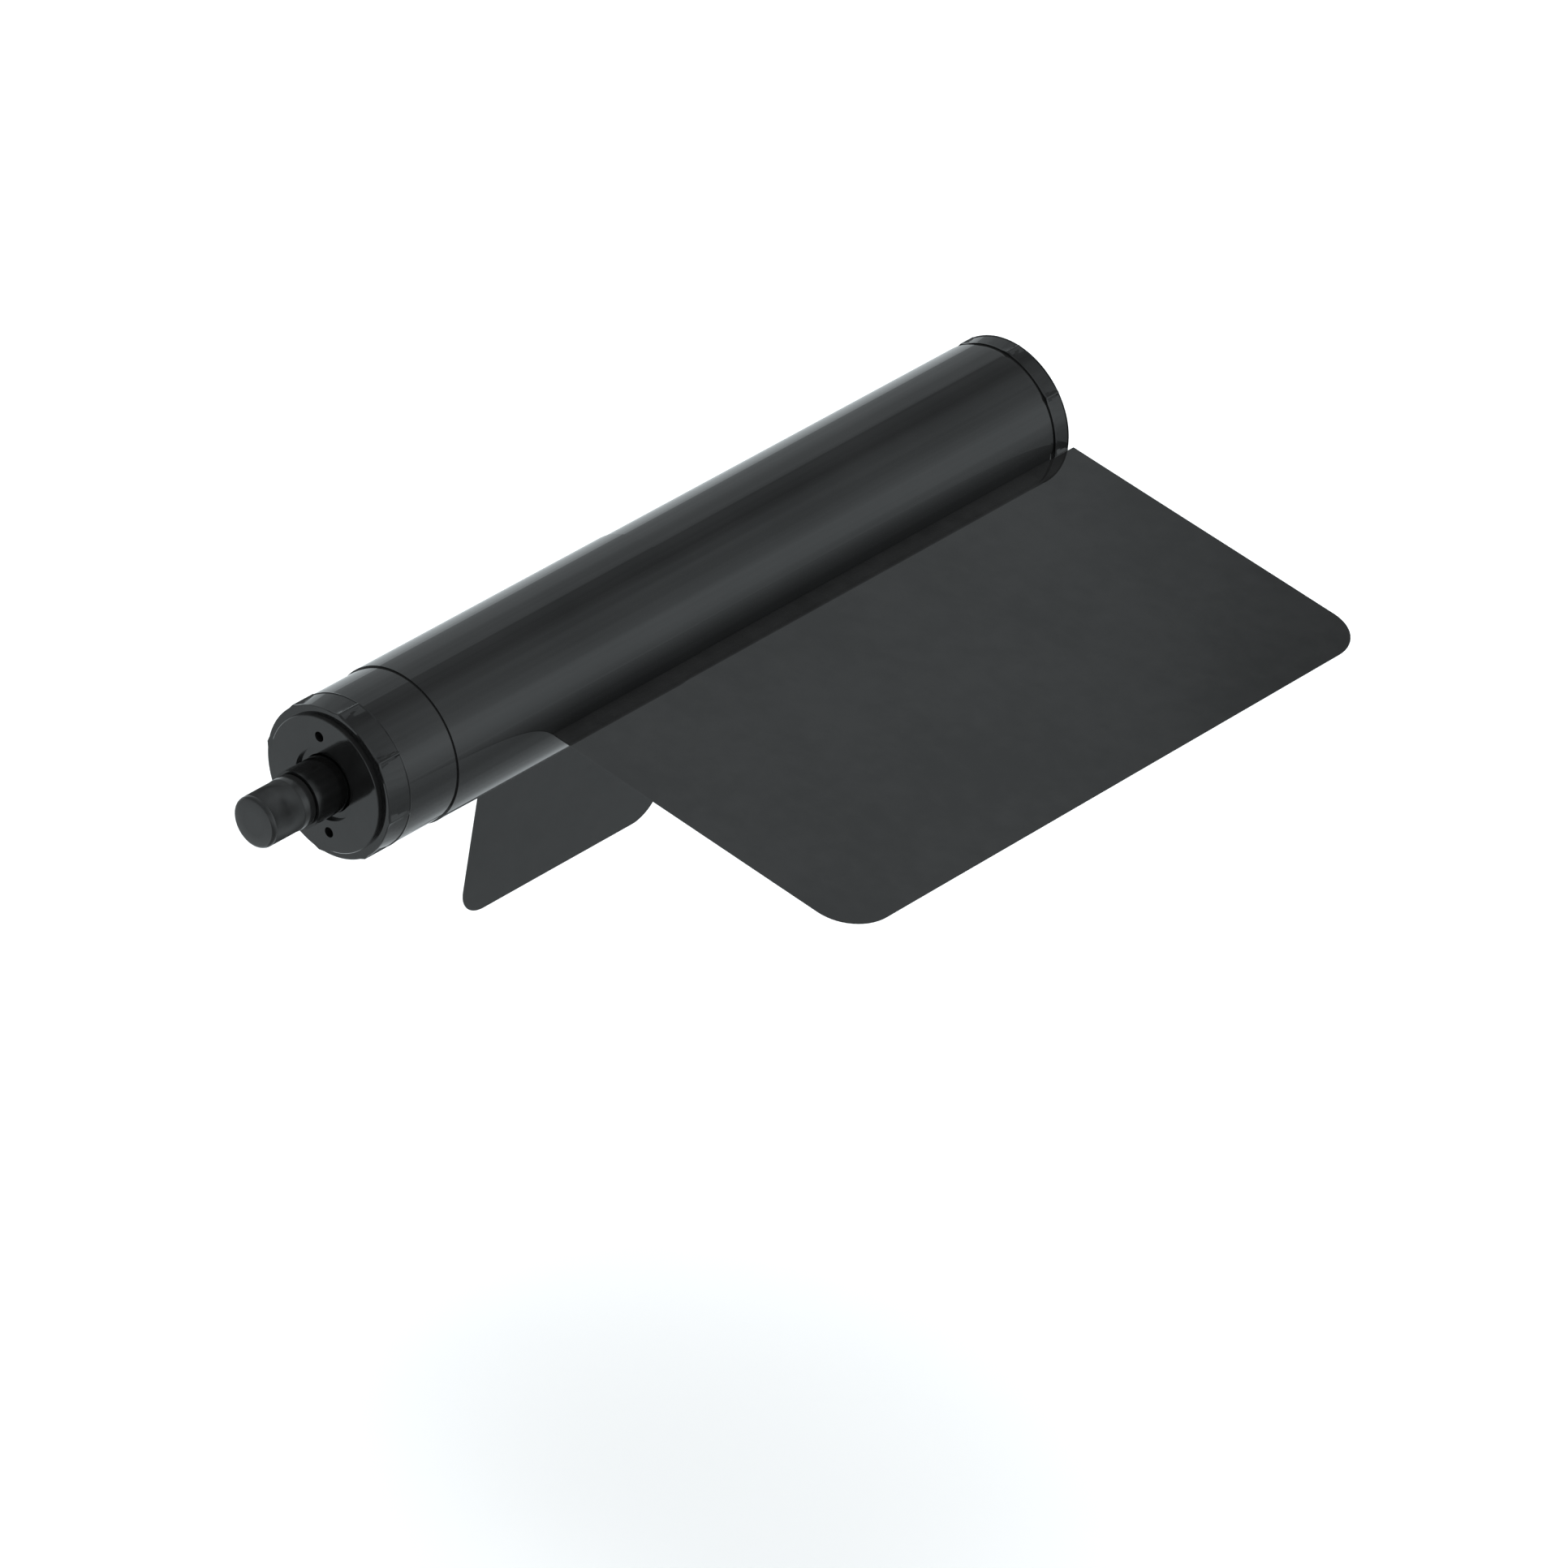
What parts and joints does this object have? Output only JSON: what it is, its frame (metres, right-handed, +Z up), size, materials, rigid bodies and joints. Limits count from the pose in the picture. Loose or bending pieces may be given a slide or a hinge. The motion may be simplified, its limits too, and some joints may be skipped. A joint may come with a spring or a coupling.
{
  "type": "roll of sign vinyl",
  "caption": "Black gloss sign vinyl wound on a core between end hubs on a braked spindle with a knurled knob, with loose film sheets standing out of the roll.",
  "frame": {"origin": "on the roll's axis at the middle of the near journal, the bare neck of the spindle between the knob and the near hub", "axes": "+Y along the roll's axis from the knob end to the far end, +X along the wide sheet, +Z up, with the narrow sheet along -Z"},
  "size_m": [0.3935, 0.7928, 0.2579],
  "materials": {
    "vinyl": "high gloss black film",
    "film": "gloss black film, slightly satin",
    "hub_plastic": "gloss black moulding",
    "rim_plastic": "gloss black moulding",
    "face_plastic": "gloss black moulding",
    "inner_plastic": "matt moulding",
    "knob_black": "black anodised, satin",
    "black_metal": "gloss black",
    "steel": "turned",
    "bearing_steel": "ground",
    "rubber": "matt",
    "lining": "friction lining",
    "bush": "acetal",
    "cardboard": "spiral wound"
  },
  "bodies": {
    "spindle": {"spindle_shaft": "steel", "journal_sleeve": "black_metal", "journal_grub_screws": "steel", "bearing_inner_race": "bearing_steel", "bearing_circlip": "steel"},
    "roll": {"near_hub": "hub_plastic", "near_rim_ring": "rim_plastic", "near_face_disc": "face_plastic", "near_grip_bands": "rubber", "bearing_outer_race": "bearing_steel", "bearing_balls": "bearing_steel", "bearing_shield": "steel", "brake_lining": "lining", "brake_wall": "inner_plastic", "core_tube": "cardboard", "wound_vinyl": "vinyl", "outer_turns": "vinyl", "overwrap_turns": "vinyl"},
    "far_hub_unit": {"far_hub": "hub_plastic", "far_rim_ring": "rim_plastic", "far_bush": "bush", "far_face_disc": "face_plastic", "far_grip_bands": "rubber"},
    "brake_rod_unit": {"brake_rod": "steel", "brake_cross_pin": "steel", "brake_washer": "steel"},
    "knob_unit": {"knurled_knob": "knob_black", "knob_stud": "steel", "knob_end_plug": "knob_black"},
    "wide_film": {"wide_sheet": "film"},
    "narrow_film": {"narrow_sheet": "film"}
  },
  "joints": [
    {"name": "roll_spin", "type": "hinge", "parent": "spindle", "child": "roll", "pos_m": [0, 0, 0], "axis": [0, 1, 0], "continuous": true},
    {"name": "far_hub_pull", "type": "slide", "parent": "roll", "child": "far_hub_unit", "axis": [0, 1, 0], "range_m": [0, 0.06]},
    {"name": "brake_rod_travel", "type": "slide", "parent": "spindle", "child": "brake_rod_unit", "axis": [0, -1, 0], "range_m": [0, 0.0015]},
    {"name": "knob_turn", "type": "hinge", "parent": "brake_rod_unit", "child": "knob_unit", "pos_m": [0, -0.03, 0], "axis": [0, 1, 0], "range_deg": [0, 360]},
    {"name": "wide_sheet_flex", "type": "hinge", "parent": "roll", "child": "wide_film", "pos_m": [0.0584, 0.4486, 0], "axis": [0, 1, 0], "range_deg": [-60, 40]},
    {"name": "narrow_sheet_flex", "type": "hinge", "parent": "roll", "child": "narrow_film", "pos_m": [0, 0.2814, -0.0584], "axis": [0, 1, 0], "range_deg": [-30, 60]}
  ],
  "couplings": [
    {"joint": "knob_turn", "follows": "brake_rod_travel", "rad_per_m": 4188.8}
  ]
}
